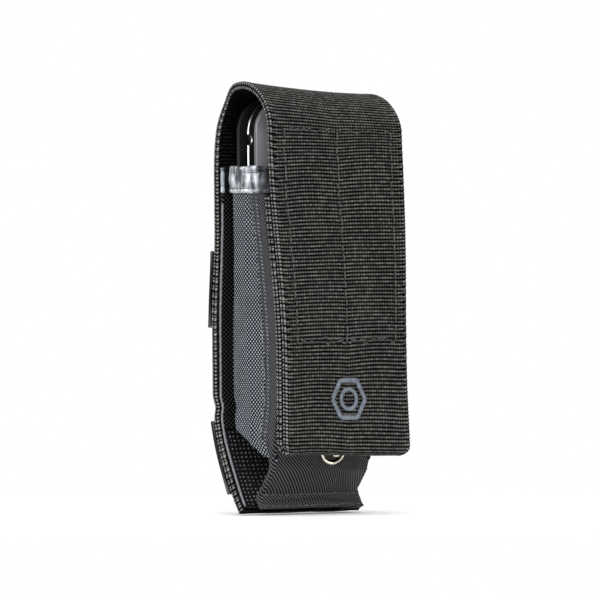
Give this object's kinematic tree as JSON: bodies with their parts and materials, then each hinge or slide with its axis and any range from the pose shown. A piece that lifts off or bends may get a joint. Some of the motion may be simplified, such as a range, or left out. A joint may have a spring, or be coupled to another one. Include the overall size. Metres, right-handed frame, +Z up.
{
  "type": "multi tool in a belt sheath",
  "caption": "Black webbing belt sheath with a snap flap and open gusseted sides, holding a folding pliers multi tool that draws out and unfolds.",
  "frame": {"origin": "on the plane of the hem, under the centre of the sheath's width and of its depth", "axes": "+X to the wearer's left as seen from the front (picture right), -Y out of the flap's front, +Z up the sheath"},
  "size_m": [0.0508, 0.0485, 0.14],
  "materials": {
    "webbing": "coarse ribbed nylon webbing, charcoal black",
    "lining": "coated nylon lining, black with pale dots",
    "nylon_cloth": "twill-like woven nylon, slate black with a blue sheen",
    "vinyl": "crinkled glossy vinyl binding",
    "thread": "satin stitched thread, grey blue",
    "nickel": "polished nickel",
    "blackened_metal": "black oxide, satin",
    "tool_steel": "satin dark grey coated steel",
    "bright_steel": "brushed stainless steel",
    "blade_steel": "ground stainless steel"
  },
  "bodies": {
    "sheath": {"back_webbing": "webbing", "back_lining": "lining", "front_panel": "nylon_cloth", "gusset_left": "nylon_cloth", "gusset_right": "nylon_cloth", "mouth_binding": "vinyl", "bottom_hem": "nylon_cloth", "upper_bar": "webbing", "lower_bar": "webbing", "strap_anchor": "webbing", "snap_studs": "nickel", "stud_rivets": "blackened_metal", "strap_stud": "blackened_metal"},
    "flap": {"flap_webbing": "webbing", "flap_socket": "nickel", "flap_badge": "thread"},
    "strap": {"belt_strap": "webbing", "strap_cap": "blackened_metal"},
    "first_jaw": {"left_jaw": "tool_steel", "pliers_pivot": "bright_steel", "left_cutter": "bright_steel", "left_tang_pin": "bright_steel", "left_tang_washers": "bright_steel"},
    "second_jaw": {"right_jaw": "tool_steel", "right_cutter": "bright_steel", "right_tang_pin": "bright_steel", "right_tang_washers": "bright_steel"},
    "left_handle": {"left_front_plate": "tool_steel", "left_rear_plate": "tool_steel", "left_liner": "bright_steel", "left_spacer": "bright_steel", "left_blade_pin": "bright_steel", "left_blade_washers": "bright_steel"},
    "right_handle": {"right_front_plate": "tool_steel", "right_rear_plate": "tool_steel", "right_liner": "bright_steel", "right_spacer": "bright_steel", "right_blade_pin": "bright_steel", "right_blade_washers": "bright_steel"},
    "knife": {"knife_blade": "blade_steel"},
    "saw": {"saw_blade": "blade_steel"},
    "large_screwdriver": {"large_driver": "blade_steel"},
    "file": {"file_blade": "blade_steel"},
    "serrated_knife": {"serrated_blade": "blade_steel"},
    "opener": {"can_opener": "blade_steel"},
    "small_screwdriver": {"small_driver": "blade_steel"},
    "awl": {"awl_blade": "blade_steel"}
  },
  "joints": [
    {"name": "flap_open", "type": "hinge", "parent": "sheath", "child": "flap", "pos_m": [0, 0.01555, 0.124], "axis": [-1, 0, 0], "range_deg": [0, 180]},
    {"name": "belt_strap_open", "type": "hinge", "parent": "sheath", "child": "strap", "pos_m": [0, 0.01725, 0.097], "axis": [1, 0, 0], "range_deg": [0, 90]},
    {"name": "tool_draw", "type": "slide", "parent": "sheath", "child": "first_jaw", "axis": [0, 0, 1], "range_m": [0, 0.11], "deforming": ["gusset_left", "gusset_right", "mouth_binding", "flap_webbing"]},
    {"name": "jaws_open", "type": "hinge", "parent": "first_jaw", "child": "second_jaw", "pos_m": [0, 0.0052, 0.104], "axis": [0, 1, 0], "range_deg": [0, 30]},
    {"name": "left_handle_open", "type": "hinge", "parent": "first_jaw", "child": "left_handle", "pos_m": [-0.0104, 0.0052, 0.1235], "axis": [0, 1, 0], "range_deg": [0, 180]},
    {"name": "right_handle_open", "type": "hinge", "parent": "second_jaw", "child": "right_handle", "pos_m": [0.0104, 0.0052, 0.1235], "axis": [0, -1, 0], "range_deg": [0, 180]},
    {"name": "knife_open", "type": "hinge", "parent": "left_handle", "child": "knife", "pos_m": [-0.0104, 0.0052, 0.0335], "axis": [0, -1, 0], "range_deg": [0, 180]},
    {"name": "saw_open", "type": "hinge", "parent": "left_handle", "child": "saw", "pos_m": [-0.0104, 0.0052, 0.0335], "axis": [0, -1, 0], "range_deg": [0, 180]},
    {"name": "large_driver_open", "type": "hinge", "parent": "left_handle", "child": "large_screwdriver", "pos_m": [-0.0104, 0.0052, 0.0335], "axis": [0, -1, 0], "range_deg": [0, 180]},
    {"name": "file_open", "type": "hinge", "parent": "left_handle", "child": "file", "pos_m": [-0.0104, 0.0052, 0.0335], "axis": [0, -1, 0], "range_deg": [0, 180]},
    {"name": "serrated_open", "type": "hinge", "parent": "right_handle", "child": "serrated_knife", "pos_m": [0.0104, 0.0052, 0.0335], "axis": [0, 1, 0], "range_deg": [0, 180]},
    {"name": "opener_open", "type": "hinge", "parent": "right_handle", "child": "opener", "pos_m": [0.0104, 0.0052, 0.0335], "axis": [0, 1, 0], "range_deg": [0, 180]},
    {"name": "small_driver_open", "type": "hinge", "parent": "right_handle", "child": "small_screwdriver", "pos_m": [0.0104, 0.0052, 0.0335], "axis": [0, 1, 0], "range_deg": [0, 180]},
    {"name": "awl_open", "type": "hinge", "parent": "right_handle", "child": "awl", "pos_m": [0.0104, 0.0052, 0.0335], "axis": [0, 1, 0], "range_deg": [0, 180]}
  ],
  "couplings": [
    {"joint": "jaws_open", "follows": "tool_draw", "rad_per_m": 3.808},
    {"joint": "left_handle_open", "follows": "tool_draw", "rad_per_m": 19.833},
    {"joint": "right_handle_open", "follows": "tool_draw", "rad_per_m": 19.833},
    {"joint": "knife_open", "follows": "tool_draw", "rad_per_m": 28.56},
    {"joint": "saw_open", "follows": "tool_draw", "rad_per_m": 22.213},
    {"joint": "large_driver_open", "follows": "tool_draw", "rad_per_m": 15.867},
    {"joint": "file_open", "follows": "tool_draw", "rad_per_m": 9.52},
    {"joint": "serrated_open", "follows": "tool_draw", "rad_per_m": 28.56},
    {"joint": "opener_open", "follows": "tool_draw", "rad_per_m": 22.213},
    {"joint": "small_driver_open", "follows": "tool_draw", "rad_per_m": 15.867},
    {"joint": "awl_open", "follows": "tool_draw", "rad_per_m": 9.52}
  ]
}
